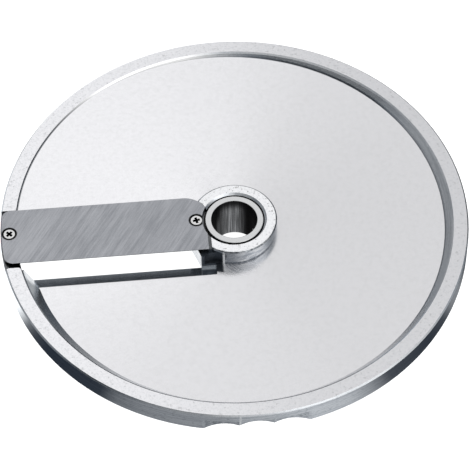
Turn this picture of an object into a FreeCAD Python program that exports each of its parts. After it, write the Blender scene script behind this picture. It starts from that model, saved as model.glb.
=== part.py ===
"""Slicing disc: a cast aluminium disc with a sloping plate, a ground steel blade held by two
countersunk screws, and a steel bush in its hub.

All lengths are in millimetres. The hub's axis is the Z axis, and the hub stands on Z = 0. The blade
runs along -X, its cutting edge looks towards -Y, and the plate drops clockwise away from its back.
"""
import FreeCAD, Part
import math
import os
import re
import Sketcher

doc = FreeCAD.newDocument("slicing_disc")
vector = FreeCAD.Vector

# Driving dimensions, each with what it measures

SIZES = {
    "disc_radius": 102.5,           # outer radius of the rim
    "rim_land": 6.5,                # flat top of the rim, from the outer wall to the sloping inner wall
    "rim_height": 11.0,             # rim, from its top face to its underside
    "rim_edge": 0.6,                # chamfer round the rim's outer edges
    "rim_inner_edge": 0.7,          # bevel round the inner edge of the rim's top
    "rim_end_corner": 1.5,          # corner radii of the rim where the seat cuts through it
    "rim_wall_slope": 33.9,         # degrees that the rim's inner wall leans from upright
    "slot_wall_slope": 22.8,        # the same wall at the outer end of the slot
    "slot_wall_length": 12.5,       # how far along the rim's top the wall takes to lean back
    "slot_wall_foot": 3.8,          # how far along the rim's underside it takes
    "window_rim_width": 7.0,        # rim outside the window, from its outer to its inner wall
    "rim_root_width": 8.5,          # rim below the plate, from its outer to its inner wall
    "hub_height": 23.8,             # hub, from the end it stands on to the top face
    "hub_wall": 3.3,                # wall of the hub round the bush, below the rim
    "hub_root_width": 2.25,         # full metal left round the boss, under the plate
    "hub_drop": 1.5,                # upright part of the boss below the rim's underside
    "boss_wall": 6.05,              # wall of the boss round the bush
    "boss_edge": 0.4,               # chamfer round the boss's top
    "boss_mouth_width": 0.9,        # coned mouth round the groove at the bush
    "boss_mouth_depth": 0.9,        # depth of that mouth
    "relief_gap": 0.7,              # groove between the boss and the top of the bush
    "relief_depth": 2.2,            # depth of that groove below the top face
    "plate_thickness": 3.0,         # plate, measured upright
    "ramp_start_depth": 0.4,        # plate below the top face behind the blade
    "ramp_end_depth": 8.6,          # plate below the top face in front of the blade
    "ramp_start_angle": 152.0,      # azimuth in degrees where the plate starts to drop
    "ramp_travel": 280.0,           # degrees, clockwise, over which it drops
    "bush_bore_radius": 10.0,       # bore of the bush, for the drive shaft
    "bush_wall": 2.7,               # wall of the bush, which fills the hub's bore
    "bush_recess": 0.7,             # top of the bush below the top face
    "bush_edge": 0.15,              # chamfer on the bush's edges
    "keyway_width": 11.0,           # drive keyways in the bush's lower end
    "keyway_depth": 1.3,            # keyways into the wall of the bore
    "keyway_height": 8.5,           # keyways, up from the bush's lower end
    "blade_thickness": 2.0,         # blade
    "blade_back": 13.1,             # back edge of the blade, from the hub's axis
    "blade_front": 15.5,            # cutting edge of the blade, from the hub's axis
    "blade_end_inset": 0.6,         # blade's outer end behind the rim's outer wall
    "blade_end_gap": 1.4,           # straight inner end of the blade to the seat's end wall
    "blade_bush_gap": 1.5,          # hollow in the blade's inner end, clear of the bush
    "blade_back_corner": 3.6,       # outer corner radius at the back edge
    "blade_front_corner": 4.2,      # outer corner radius at the cutting edge
    "blade_edge_thickness": 0.3,    # steel left at the cutting edge
    "blade_bevel_width": 4.5,       # bevel ground under the cutting edge
    "seat_clearance": 0.1,          # play behind and round the blade in its seat
    "seat_lap": 1.8,                # how far the seat reaches inwards past the bush's outside
    "seat_corner": 10.9,            # corner radius of the seat, at the back by the hub
    "slot_lead": 2.4,               # front wall of the seat and slot, ahead of the cutting edge
    "bridge_front": 6.0,            # front face of the bridge under the blade, from the hub's axis
    "bridge_back": 15.5,            # back face of the bridge, from the hub's axis
    "bridge_depth": 8.0,            # underside of the bridge below the top face
    "lug_width": 5.0,               # front of the lug, outwards from the seat's end wall
    "lug_root": 5.2,                # end of the lug's front inside the boss, from the hub's axis
    "lug_taper": 4.2,               # how far the lug widens from there to the bridge
    "scoop_radius": 5.5,            # round scoop in the lug's front
    "scoop_width": 8.0,             # that scoop, across
    "scoop_x": 10.6,                # middle of the scoop, from the hub's axis
    "scoop_floor": 1.1,             # scoop's floor above the plate
    "lip_end": 9.5,                 # inner end of the bevel along the slot, from the hub's axis
    "lip_width": 5.3,               # bevel on the plate along the slot
    "lip_drop": 1.5,                # how far that bevel drops
    "grip_radius": 18.0,            # radius of each finger scallop
    "grip_angle": -89.5,            # azimuth in degrees of the middle scallop
    "grip_pitch": 7.4,              # degrees from one scallop to the next
    "grip_middle_depth": 4.3,       # middle scallop into the rim
    "grip_side_depth": 3.5,         # outer scallops into the rim
    "grip_flange": 4.0,             # rim left over the scallops
    "screw_rim_inset": 4.0,         # outer screw, inwards from the rim's outer wall
    "screw_bush_gap": 3.9,          # inner screw, outwards from the bush
    "screw_y": 0.6,                 # both screws, from the hub's axis
    "sink_radius": 3.1,             # step round each screw's head in the blade's top face
    "sink_depth": 0.8,              # depth of that step
    "screw_drop": 0.15,             # top of each screw's head below the blade's top face
    "screw_head_radius": 2.45,      # screw head
    "screw_radius": 1.5,            # screw shank and its tapped hole
    "screw_length": 7.0,            # screw, from the top of its head
    "screw_tip": 0.4,               # chamfer at the screw's tip
    "screw_hole_play": 0.2,         # play round the shank in the blade
    "recess_arm": 1.6,              # reach of the cross recess
    "recess_width": 1.15,           # width of its arms
    "recess_depth": 1.4,            # depth of the recess
    "outer_recess_turn": 45.0,      # degrees that the outer screw's cross is turned
    "inner_recess_turn": 12.0,      # degrees that the inner screw's cross is turned
    "overrun": 1.0,                 # how far cutting shapes run past the metal
}

sizes = doc.addObject("Spreadsheet::Sheet", "sizes")
for row, (alias, value) in enumerate(SIZES.items(), start=1):
    sizes.set(f"A{row}", alias.replace("_", " "))
    sizes.set(f"B{row}", str(value))
    sizes.setAlias(f"B{row}", alias)
doc.recompute()


def size(alias):
    """Value of one named size, read from the sheet."""
    return float(sizes.get(alias))


def bound(text):
    """Expression with every named size in it pointed at the sheet."""
    return re.sub(r"[a-z_]+", lambda word: ("sizes." if word[0] in SIZES else "") + word[0], text)


def bind(thing, **expressions):
    """Bind properties to expressions in named sizes; a double underscore stands for a dot."""
    for name, text in expressions.items():
        thing.setExpression(name.replace("__", "."), bound(text))


# Places that several pieces share, worked out from the named sizes

TOP = "hub_height"
RIM_BOTTOM = "( hub_height - rim_height )"
DISH_RADIUS = "( disc_radius - rim_land )"
BUSH_RADIUS = "( bush_bore_radius + bush_wall )"
RELIEF_RADIUS = f"( {BUSH_RADIUS} + relief_gap )"
BOSS_RADIUS = f"( {BUSH_RADIUS} + boss_wall )"
HUB_END_RADIUS = f"( {BUSH_RADIUS} + hub_wall )"
SEAT_END = f"( {BUSH_RADIUS} - seat_lap )"
SEAT_BACK = "( blade_back + seat_clearance )"
SLOT_FRONT = "( blade_front + slot_lead )"
LUG_SIDE = f"( {SEAT_END} + lug_width )"
SCREW_X = {"outer": "( screw_rim_inset - disc_radius )", "inner": f"( - {BUSH_RADIUS} - screw_bush_gap )"}
DEEP = "( rim_height + overrun )"
RIM_END = f"( {SLOT_FRONT} + rim_end_corner )"


def wall_foot(slope):
    """Radius of the rim's inner wall at the deep end, for one slope."""
    return f"( {DISH_RADIUS} - rim_inner_edge - ( {DEEP} - rim_inner_edge ) * tan( {slope} * 1deg ) )"


def across(radius, away):
    """Distance along X from a circle's middle to the circle, at some distance from it along Y."""
    return f"sqrt( {radius} ^ 2 - ( {away} ) ^ 2 )"


# Sketching helpers

def origin_plane(body, role):
    """One of the body's own origin planes."""
    return next(feature for feature in body.Origin.OriginFeatures if feature.Role == role)


def new_sketch(body, name, role, height=None):
    """Empty sketch on an origin plane, moved off it by an expression if one is given."""
    sketch = body.newObject("Sketcher::SketchObject", name)
    sketch.AttachmentSupport = [(origin_plane(body, role), "")]
    sketch.MapMode = "FlatFace"
    if height:
        bind(sketch, AttachmentOffset__Base__z=height)
    return sketch


def number(sketch, text):
    """What an expression in named sizes comes to."""
    result = sketch.evalExpression(bound(text))
    return float(getattr(result, "Value", result))


def constrain(sketch, expression, *constraint):
    """Add a dimension and bind it to its expression."""
    index = sketch.addConstraint(Sketcher.Constraint(*constraint, number(sketch, expression)))
    sketch.setExpression(f"Constraints[{index}]", bound(expression))


def arc_between(start, end, radius, turn):
    """Arc from start to end, with turn 1 for counterclockwise and -1 for clockwise."""
    chord = end - start
    middle = (start + end) * 0.5
    rise = math.sqrt(max(radius ** 2 - (chord.Length / 2) ** 2, 0.0))
    centre = middle + vector(-chord.y, chord.x, 0).normalize() * rise * turn
    first, last = (start, end) if turn > 0 else (end, start)
    angles = [math.atan2(point.y - centre.y, point.x - centre.x) for point in (first, last)]
    return Part.ArcOfCircle(Part.Circle(centre, vector(0, 0, 1), radius), *angles)


def outline(sketch, corners, arcs=None):
    """Closed outline through corners given as pairs of expressions.

    arcs gives a side's number its radius expression and its turn; the other sides are straight.
    """
    arcs = arcs or {}
    points = [vector(number(sketch, x), number(sketch, y), 0) for x, y in corners]
    ends = []
    for side, start in enumerate(points):
        end = points[(side + 1) % len(points)]
        if side in arcs:
            radius, turn = arcs[side]
            index = sketch.addGeometry(arc_between(start, end, number(sketch, radius), turn), False)
            ends.append((index, 1, 2) if turn > 0 else (index, 2, 1))
        else:
            index = sketch.addGeometry(Part.LineSegment(start, end), False)
            ends.append((index, 1, 2))
    for side, (index, _, last) in enumerate(ends):
        following, first, _ = ends[(side + 1) % len(ends)]
        sketch.addConstraint(Sketcher.Constraint("Coincident", index, last, following, first))
    for (x, y), (index, first, _) in zip(corners, ends):
        constrain(sketch, x, "DistanceX", -1, 1, index, first)
        constrain(sketch, y, "DistanceY", -1, 1, index, first)
    for side, (radius, _) in arcs.items():
        constrain(sketch, radius, "Radius", ends[side][0])


def circle(sketch, radius, x="0", y="0"):
    """Circle with its centre and radius bound."""
    centre = vector(number(sketch, x), number(sketch, y), 0)
    index = sketch.addGeometry(Part.Circle(centre, vector(0, 0, 1), number(sketch, radius)), False)
    constrain(sketch, radius, "Radius", index)
    constrain(sketch, x, "DistanceX", -1, 1, index, 3)
    constrain(sketch, y, "DistanceY", -1, 1, index, 3)


def turned(body, name, corners):
    """Solid of revolution about the Z axis from a section in the XZ plane."""
    sketch = new_sketch(body, name + "_section", "XZ_Plane")
    outline(sketch, corners)
    solid = body.newObject("PartDesign::Revolution", name)
    solid.Profile = sketch
    solid.ReferenceAxis = (sketch, ["V_Axis"])
    solid.Angle = 360
    doc.recompute()
    return solid


def extrusion(body, kind, name, sketch, length, backwards=False, both_ways=False):
    """Pad or Pocket of a sketch, with its length bound."""
    feature = body.newObject("PartDesign::" + kind, name)
    feature.Profile = sketch
    feature.Reversed = backwards
    feature.Midplane = both_ways
    bind(feature, Length=length)
    doc.recompute()
    return feature


# Shapes that cut or join the casting

def cylinder(name, radius, height, z="0", x="0", y="0"):
    """Upright cylinder with every size bound."""
    shape = doc.addObject("Part::Cylinder", name)
    bind(shape, Radius=radius, Height=height, Placement__Base__x=x, Placement__Base__y=y,
         Placement__Base__z=z)
    return shape


def box(name, x_low, x_high, y_low, y_high, z_low, z_high):
    """Upright block between two corners, with every size bound."""
    shape = doc.addObject("Part::Box", name)
    bind(shape, Length=f"{x_high} - ( {x_low} )", Width=f"{y_high} - ( {y_low} )",
         Height=f"{z_high} - ( {z_low} )", Placement__Base__x=x_low, Placement__Base__y=y_low,
         Placement__Base__z=z_low)
    return shape


def cut(name, base, tool):
    """base without tool."""
    shape = doc.addObject("Part::Cut", name)
    shape.Base = base
    shape.Tool = tool
    return shape


def common(name, first, second):
    """What two shapes share."""
    shape = doc.addObject("Part::MultiCommon", name)
    shape.Shapes = [first, second]
    return shape


def fuse(name, shapes):
    """Several shapes joined into one."""
    shape = doc.addObject("Part::MultiFuse", name)
    shape.Shapes = shapes
    return shape


def ramp_drop(angle):
    """Depth of the plate's top face at an azimuth, below the disc's top face.

    It is level up to the start, drops evenly in between and is level again at the end. Both bends are
    parabolas over a fixed share of the travel, so that the slope never jumps.
    """
    bend = 0.12
    share = (size("ramp_start_angle") - angle) / size("ramp_travel")
    share = min(max(share, 0.0), 1.0)
    if share < bend:
        eased = share ** 2 / (2 * bend * (1 - bend))
    elif share > 1 - bend:
        eased = 1 - (1 - share) ** 2 / (2 * bend * (1 - bend))
    else:
        eased = (share - bend / 2) / (1 - bend)
    start = size("ramp_start_depth")
    return start + (size("ramp_end_depth") - start) * eased


def ramp_curve(radius, below, angles):
    """Spline round the axis at one radius, a fixed depth below the ramp."""
    points = []
    for angle in angles:
        z = size("hub_height") - ramp_drop(angle) - below
        turn = math.radians(angle)
        points.append(vector(radius * math.cos(turn), radius * math.sin(turn), z))
    curve = Part.BSplineCurve()
    curve.interpolate(Points=points, Parameters=[-angle for angle in angles])
    return curve.toShape()


def ramp_space(name, below, height):
    """Space over the ramp's screw face, or under it where height is negative.

    The face is ruled by level lines from the axis outwards. It starts and ends under the blade.
    """
    seam_angle = 4
    angle_step = 4
    angles = list(range(180 - seam_angle, seam_angle - 181, -angle_step))
    inner = ramp_curve(number(sizes, BUSH_RADIUS), below, angles)
    outer = ramp_curve(size("disc_radius") + size("overrun"), below, angles)
    face = Part.makeRuledSurface(inner, outer)
    space = doc.addObject("Part::Feature", name)
    space.Shape = face.extrude(vector(0, 0, height))
    return space


# Cast blank: rim, plate at full height, boss and hub

blank = doc.addObject("PartDesign::Body", "blank")
turned(blank, "blank_turned", [
    (BUSH_RADIUS, "0"),
    (HUB_END_RADIUS, "0"),
    (HUB_END_RADIUS, f"{RIM_BOTTOM} - hub_drop - ( boss_wall - hub_wall )"),
    (BOSS_RADIUS, f"{RIM_BOTTOM} - hub_drop"),
    (BOSS_RADIUS, RIM_BOTTOM),
    ("disc_radius - rim_edge", RIM_BOTTOM),
    ("disc_radius", f"{RIM_BOTTOM} + rim_edge"),
    ("disc_radius", f"{TOP} - rim_edge"),
    ("disc_radius - rim_edge", TOP),
    (f"{RELIEF_RADIUS} + boss_mouth_width", TOP),
    (RELIEF_RADIUS, f"{TOP} - boss_mouth_depth"),
    (RELIEF_RADIUS, f"{TOP} - relief_depth"),
    (BUSH_RADIUS, f"{TOP} - relief_depth"),
])

# Dish over the plate: inside the rim's leaning wall and outside the boss

dish_round = doc.addObject("PartDesign::Body", "dish_round")
turned(dish_round, "dish_turned", [
    ("0", f"{TOP} - {DEEP}"),
    (wall_foot("rim_wall_slope"), f"{TOP} - {DEEP}"),
    (f"{DISH_RADIUS} - rim_inner_edge", f"{TOP} - rim_inner_edge"),
    (f"{DISH_RADIUS} + overrun", f"{TOP} + overrun"),
    ("0", f"{TOP} + overrun"),
])

# Near the slot the rim's wall stands steeper, and a ruled face leads over to it

slot_wall = doc.addObject("PartDesign::Body", "slot_wall")
WALL_START = f"( {SLOT_FRONT} - overrun )"
wall_ends = []
for name, height, radii, stretch in (
    ("slot_wall_foot_plan", f"{TOP} - {DEEP}", [wall_foot("rim_wall_slope"), wall_foot("slot_wall_slope")],
     f"( {SLOT_FRONT} + slot_wall_foot )"),
    ("slot_wall_top_plan", f"{TOP} - rim_inner_edge", [f"( {DISH_RADIUS} - rim_inner_edge )"] * 2,
     f"( {SLOT_FRONT} + slot_wall_length )"),
):
    plan = new_sketch(slot_wall, name, "XY_Plane", height)
    outline(plan, [
        (f"- {across(radii[0], stretch)}", f"- {stretch}"),
        ("- disc_radius / 2", f"- {stretch}"),
        ("- disc_radius / 2", f"- {WALL_START}"),
        (f"- {across(radii[1], WALL_START)}", f"- {WALL_START}"),
    ])
    wall_ends.append(plan)
wall_loft = slot_wall.newObject("PartDesign::AdditiveLoft", "slot_wall_loft")
wall_loft.Profile = wall_ends[0]
wall_loft.Sections = [wall_ends[1]]
wall_loft.Ruled = True
doc.recompute()
boss_core = doc.addObject("PartDesign::Body", "boss_core")
turned(boss_core, "boss_core_turned", [
    ("0", f"{TOP} - {DEEP} - overrun"),
    (BOSS_RADIUS, f"{TOP} - {DEEP} - overrun"),
    (BOSS_RADIUS, f"{TOP} - boss_edge"),
    (f"{BOSS_RADIUS} - boss_edge - 2 * overrun", f"{TOP} + 2 * overrun"),
    ("0", f"{TOP} + 2 * overrun"),
])
dish = cut("dish", fuse("dish_walls", [dish_round, slot_wall]), boss_core)
room_over = size("ramp_end_depth") + 2 * size("overrun")
ramp_over = ramp_space("ramp_over", 0.0, room_over)
dish_cut = common("dish_cut", dish, ramp_over)

# Hollow under the plate, between the hub's root and the rim

hollow_outer = cylinder("hollow_outer", "disc_radius - rim_root_width", DEEP, f"{TOP} - {DEEP}")
hollow_inner = cylinder("hollow_inner", f"{BOSS_RADIUS} + hub_root_width", f"{DEEP} + overrun",
                        f"{TOP} - {DEEP} - overrun / 2")
hollow = cut("hollow", hollow_outer, hollow_inner)
room_under = size("rim_height")
ramp_under = ramp_space("ramp_under", size("plate_thickness"), -room_under)
hollow_cut = common("hollow_cut", hollow, ramp_under)

# Window through the plate, from the slot's front to under the middle of the blade

window_round = cylinder("window_round", "disc_radius - window_rim_width", DEEP, f"{TOP} - {DEEP}")
window_block = box("window_block", "- disc_radius", "0", f"- {SLOT_FRONT}", "0",
                   f"{TOP} - {DEEP} - overrun", f"{TOP} + 2 * overrun")
window_cut = common("window_cut", cut("window_ring", window_round, boss_core), window_block)

# Bridge under the blade, and the lug that joins its inner end to the hub

bridge = box("bridge", "rim_land / 2 - disc_radius", f"- {RELIEF_RADIUS}", "- bridge_front",
             "bridge_back", f"{TOP} - bridge_depth", f"{TOP} - blade_thickness")
lug = doc.addObject("PartDesign::Body", "lug")
lug_plan = new_sketch(lug, "lug_plan", "XY_Plane", RIM_BOTTOM)
outline(lug_plan, [
    ("- lug_root", f"- {SLOT_FRONT}"),
    ("- lug_root", "- bridge_front"),
    (f"- {LUG_SIDE} - lug_taper", "- bridge_front"),
    (f"- {LUG_SIDE} - lug_taper / 3", f"- {SLOT_FRONT} + lug_taper"),
    (f"- {LUG_SIDE}", f"- {SLOT_FRONT}"),
])
extrusion(lug, "Pad", "lug_pad", lug_plan, "rim_height - blade_thickness")

# Seat of the blade, milled through the rim and into the boss

seat = doc.addObject("PartDesign::Body", "seat")
seat_plan = new_sketch(seat, "seat_plan", "XY_Plane", f"{TOP} - blade_thickness")
outline(seat_plan, [
    ("- disc_radius - overrun", f"- {RIM_END}"),
    (f"- {across('disc_radius', RIM_END)}", f"- {RIM_END}"),
    (f"rim_end_corner - {across('disc_radius', RIM_END)}", f"- {SLOT_FRONT}"),
    (f"- rim_end_corner - {across(DISH_RADIUS, RIM_END)}", f"- {SLOT_FRONT}"),
    (f"- {across(DISH_RADIUS, RIM_END)}", f"- {RIM_END}"),
    (f"blade_thickness - {across(DISH_RADIUS, RIM_END)}", f"- {RIM_END}"),
    (f"blade_thickness - {across(DISH_RADIUS, RIM_END)}", f"- {SLOT_FRONT}"),
    (f"- {SEAT_END}", f"- {SLOT_FRONT}"),
    (f"- {SEAT_END}", f"{SEAT_BACK} - seat_corner"),
    (f"- {SEAT_END} - seat_corner", SEAT_BACK),
    ("- disc_radius - overrun", SEAT_BACK),
], {1: ("rim_end_corner", -1), 3: ("rim_end_corner", -1), 8: ("seat_corner", 1)})
extrusion(seat, "Pad", "seat_pad", seat_plan, "blade_thickness + overrun")

# Bevel on the plate along the slot, inside the rim's wall

lip = doc.addObject("PartDesign::Body", "lip")
lip_section = new_sketch(lip, "lip_section", "YZ_Plane")
outline(lip_section, [
    (f"- {SLOT_FRONT}", f"{TOP} - ramp_end_depth - lip_drop"),
    (f"- {SLOT_FRONT}", f"{TOP} - ramp_end_depth + overrun"),
    (f"- {SLOT_FRONT} - lip_width", f"{TOP} - ramp_end_depth + overrun"),
    (f"- {SLOT_FRONT} - lip_width", f"{TOP} - ramp_end_depth"),
])
extrusion(lip, "Pad", "lip_pad", lip_section, "disc_radius", backwards=True)
bind(lip, Placement__Base__x="- lip_end")
lip_cut = common("lip_cut", dish, lip)


# Finger scallops in the rim, tapped holes and the bush's bore

def scallop(name, depth, turn):
    """Upright cylinder that bites into the rim's outer wall below its flange."""
    reach = f"( disc_radius - {depth} + grip_radius )"
    angle = f"( ( grip_angle + {turn} ) * 1deg )"
    return cylinder(name, "grip_radius", "rim_height - grip_flange + overrun",
                    f"{RIM_BOTTOM} - overrun", f"{reach} * cos{angle}", f"{reach} * sin{angle}")


scallops = [
    scallop("scallop_left", "grip_side_depth", "( - grip_pitch )"),
    scallop("scallop_middle", "grip_middle_depth", "0"),
    scallop("scallop_right", "grip_side_depth", "grip_pitch"),
]
tapped_holes = [
    cylinder(f"tapped_hole_{place}", "screw_radius", "rim_height", f"{TOP} - rim_height - overrun",
             SCREW_X[place], "screw_y")
    for place in ("outer", "inner")
]
lug_scoop = cylinder("lug_scoop", "scoop_radius", "ramp_end_depth", f"{TOP} - ramp_end_depth + scoop_floor",
                     "- scoop_x", f"- {SLOT_FRONT} - {across('scoop_radius', 'scoop_width / 2')}")
bush_bore = cylinder("bush_bore", BUSH_RADIUS, "hub_height + 2 * overrun", "- overrun")

plate_shaped = cut("plate_shaped", blank, fuse("spaces", [dish_cut, hollow_cut, window_cut]))
carried = fuse("carried", [plate_shaped, bridge, lug])
milled = fuse("milled", [seat, lip_cut, lug_scoop, bush_bore] + scallops + tapped_holes)
disc_body = cut("disc_body", carried, milled)

# Bush pressed into the hub, with two drive keyways at its lower end

BUSH_TOP = "( hub_height - bush_recess )"
hub_bush = doc.addObject("PartDesign::Body", "hub_bush")
turned(hub_bush, "bush_turned", [
    ("bush_bore_radius + bush_edge", "0"),
    (f"{BUSH_RADIUS} - bush_edge", "0"),
    (BUSH_RADIUS, "bush_edge"),
    (BUSH_RADIUS, f"{BUSH_TOP} - bush_edge"),
    (f"{BUSH_RADIUS} - bush_edge", BUSH_TOP),
    ("bush_bore_radius + bush_edge", BUSH_TOP),
    ("bush_bore_radius", f"{BUSH_TOP} - bush_edge"),
    ("bush_bore_radius", "bush_edge"),
])
keyway_plan = new_sketch(hub_bush, "keyway_plan", "XY_Plane")
KEYWAY_REACH = "( bush_bore_radius + keyway_depth )"
outline(keyway_plan, [
    (f"- {KEYWAY_REACH}", "- keyway_width / 2"),
    (KEYWAY_REACH, "- keyway_width / 2"),
    (KEYWAY_REACH, "keyway_width / 2"),
    (f"- {KEYWAY_REACH}", "keyway_width / 2"),
])
extrusion(hub_bush, "Pocket", "keyways", keyway_plan, "keyway_height", backwards=True)

# Blade: ground plate with a bevel under its cutting edge and two countersunk holes

slicing_blade = doc.addObject("PartDesign::Body", "slicing_blade")
BLADE_REACH = "( disc_radius - blade_end_inset )"
BLADE_CORNER = "( seat_corner - seat_clearance )"
BLADE_TIP = f"( {SEAT_END} + seat_clearance )"
blade_plan = new_sketch(slicing_blade, "blade_plan", "XY_Plane")
outline(blade_plan, [
    (f"- sqrt( {BLADE_REACH} ^ 2 - blade_back ^ 2 )", "blade_back"),
    (f"- sqrt( {BLADE_REACH} ^ 2 - blade_front ^ 2 )", "- blade_front"),
    (f"- {BLADE_TIP}", "- blade_front"),
    (f"- {BLADE_TIP}", f"blade_back - {BLADE_CORNER}"),
    (f"- {BLADE_TIP} - {BLADE_CORNER}", "blade_back"),
], {0: (BLADE_REACH, 1), 3: (BLADE_CORNER, 1)})
extrusion(slicing_blade, "Pad", "blade_pad", blade_plan, "blade_thickness")


def round_outer_corner(name, side, radius):
    """Round the blade's upright outer edge on one side of the screws."""
    before = slicing_blade.Tip
    reach = size("disc_radius") - size("blade_end_inset")
    corner = None
    for index, edge in enumerate(before.Shape.Edges, start=1):
        low, high = edge.Vertexes[0].Point, edge.Vertexes[-1].Point
        upright = abs(low.x - high.x) + abs(low.y - high.y) < 1e-6
        at_rim = abs(math.hypot(low.x, low.y) - reach) < 1e-3
        if upright and at_rim and low.y * side > 0 and abs(low.y) > size("blade_back") / 2:
            corner = f"Edge{index}"
    fillet = slicing_blade.newObject("PartDesign::Fillet", name)
    fillet.Base = (before, [corner])
    bind(fillet, Radius=radius)
    doc.recompute()


round_outer_corner("back_corner", 1, "blade_back_corner")
round_outer_corner("front_corner", -1, "blade_front_corner")


hub_hollow = new_sketch(slicing_blade, "hub_hollow", "XY_Plane")
circle(hub_hollow, f"{BUSH_RADIUS} + blade_bush_gap")
extrusion(slicing_blade, "Pocket", "hub_hollow_cut", hub_hollow, "3 * blade_thickness", both_ways=True)

end_trim = new_sketch(slicing_blade, "end_trim", "XY_Plane")
outline(end_trim, [
    (f"- {SEAT_END} - blade_end_gap", "- blade_front - overrun"),
    (f"- {SEAT_END} + overrun", "- blade_front - overrun"),
    (f"- {SEAT_END} + overrun", "0"),
    (f"- {SEAT_END} - blade_end_gap", "0"),
])
extrusion(slicing_blade, "Pocket", "end_trim_cut", end_trim, "3 * blade_thickness", both_ways=True)

bevel_section = new_sketch(slicing_blade, "bevel_section", "YZ_Plane")
BEVEL_RISE = "( blade_thickness - blade_edge_thickness )"
outline(bevel_section, [
    ("- blade_front + blade_bevel_width", "0"),
    ("- blade_front", BEVEL_RISE),
    ("- blade_front - overrun", BEVEL_RISE),
    ("- blade_front - overrun", "- overrun"),
    ("- blade_front + blade_bevel_width", "- overrun"),
])
extrusion(slicing_blade, "Pocket", "bevel_cut", bevel_section, "4 * disc_radius", both_ways=True)


CONE_TOP = "( screw_head_radius + screw_drop )"


def countersink(place):
    """Clearance hole, coned seat and step for one screw, from the blade's top face."""
    hole = new_sketch(slicing_blade, f"{place}_hole", "XY_Plane")
    circle(hole, "screw_radius + screw_hole_play", SCREW_X[place], "screw_y")
    extrusion(slicing_blade, "Pocket", f"{place}_hole_cut", hole, "3 * blade_thickness", both_ways=True)
    cone = slicing_blade.newObject("PartDesign::SubtractiveCone", f"{place}_sink")
    cone.AttachmentSupport = [(origin_plane(slicing_blade, "XY_Plane"), "")]
    cone.MapMode = "FlatFace"
    bind(cone, Radius1="screw_radius", Radius2=CONE_TOP, Height=f"{CONE_TOP} - screw_radius",
         AttachmentOffset__Base__x=SCREW_X[place], AttachmentOffset__Base__y="screw_y",
         AttachmentOffset__Base__z=f"blade_thickness + screw_radius - {CONE_TOP}")
    doc.recompute()
    step = new_sketch(slicing_blade, f"{place}_step", "XY_Plane", "blade_thickness - sink_depth")
    circle(step, "sink_radius", SCREW_X[place], "screw_y")
    extrusion(slicing_blade, "Pocket", f"{place}_step_cut", step, "blade_thickness", backwards=True)


countersink("outer")
countersink("inner")
bind(slicing_blade, Placement__Base__z=f"{TOP} - blade_thickness")


# Screws: countersunk heads with a cross recess

def blade_screw(place):
    """Screw with its head seated in the blade's countersink."""
    screw = doc.addObject("PartDesign::Body", f"blade_screw_{place}")
    turned(screw, f"{place}_turned", [
        ("0", "0"),
        ("0", "- screw_length"),
        ("screw_radius - screw_tip", "- screw_length"),
        ("screw_radius", "- screw_length + screw_tip"),
        ("screw_radius", "- ( screw_head_radius - screw_radius )"),
        ("screw_head_radius", "0"),
    ])
    cross = new_sketch(screw, f"{place}_cross", "XY_Plane")
    bind(cross, AttachmentOffset__Rotation__Angle=f"{place}_recess_turn * 1deg")
    wide, long = "recess_width / 2", "recess_arm"
    quarter = [(long, wide), (wide, wide), (wide, long)]
    signs = [(1, 1), (-1, 1), (-1, -1), (1, -1)]
    corners = []
    for x_sign, y_sign in signs:
        ordered = quarter if x_sign * y_sign > 0 else quarter[::-1]
        for x, y in ordered:
            corners.append((f"{x_sign} * {x}", f"{y_sign} * {y}"))
    outline(cross, corners)
    extrusion(screw, "Pocket", f"{place}_recess", cross, "recess_depth")
    bind(screw, Placement__Base__x=SCREW_X[place], Placement__Base__y="screw_y",
         Placement__Base__z=f"{TOP} - screw_drop")
    return screw


screws = [blade_screw("outer"), blade_screw("inner")]

# Check every feature, then write one file for each piece

doc.recompute()
pieces = [disc_body, hub_bush, slicing_blade] + screws
for piece in pieces:
    piece.Label = piece.Name
for thing in doc.Objects:
    if "Invalid" in thing.State or "Error" in thing.State:
        raise RuntimeError(f"{thing.Name} failed: {thing.State}")
os.makedirs("parts", exist_ok=True)
for piece in pieces:
    shape = piece.Shape
    if shape.isNull() or not shape.isValid():
        raise RuntimeError(f"{piece.Label} has no valid shape")
    shape.exportStep(f"parts/{piece.Label}.step")
    bounds = shape.optimalBoundingBox()
    print(f"{piece.Label}: {len(shape.Solids)} solid, {shape.Volume:.1f} mm3, "
          f"x {bounds.XMin:.2f} to {bounds.XMax:.2f}, y {bounds.YMin:.2f} to {bounds.YMax:.2f}, "
          f"z {bounds.ZMin:.2f} to {bounds.ZMax:.2f}")
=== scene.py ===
# %% [markdown]
# # A slicing disc, lit and finished from its own drawing
#
# The disc is a casting with a steel blade, a steel bush and two screws. Its shapes are already right in
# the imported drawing, so this lesson keeps every one of them and spends its time on the metal: how a
# turned rim, a polished plate, a ground blade and a bored bush each break up the light.

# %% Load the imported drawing
import math
from types import SimpleNamespace

import bpy
import numpy as np
from mathutils import Matrix, Vector


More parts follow.
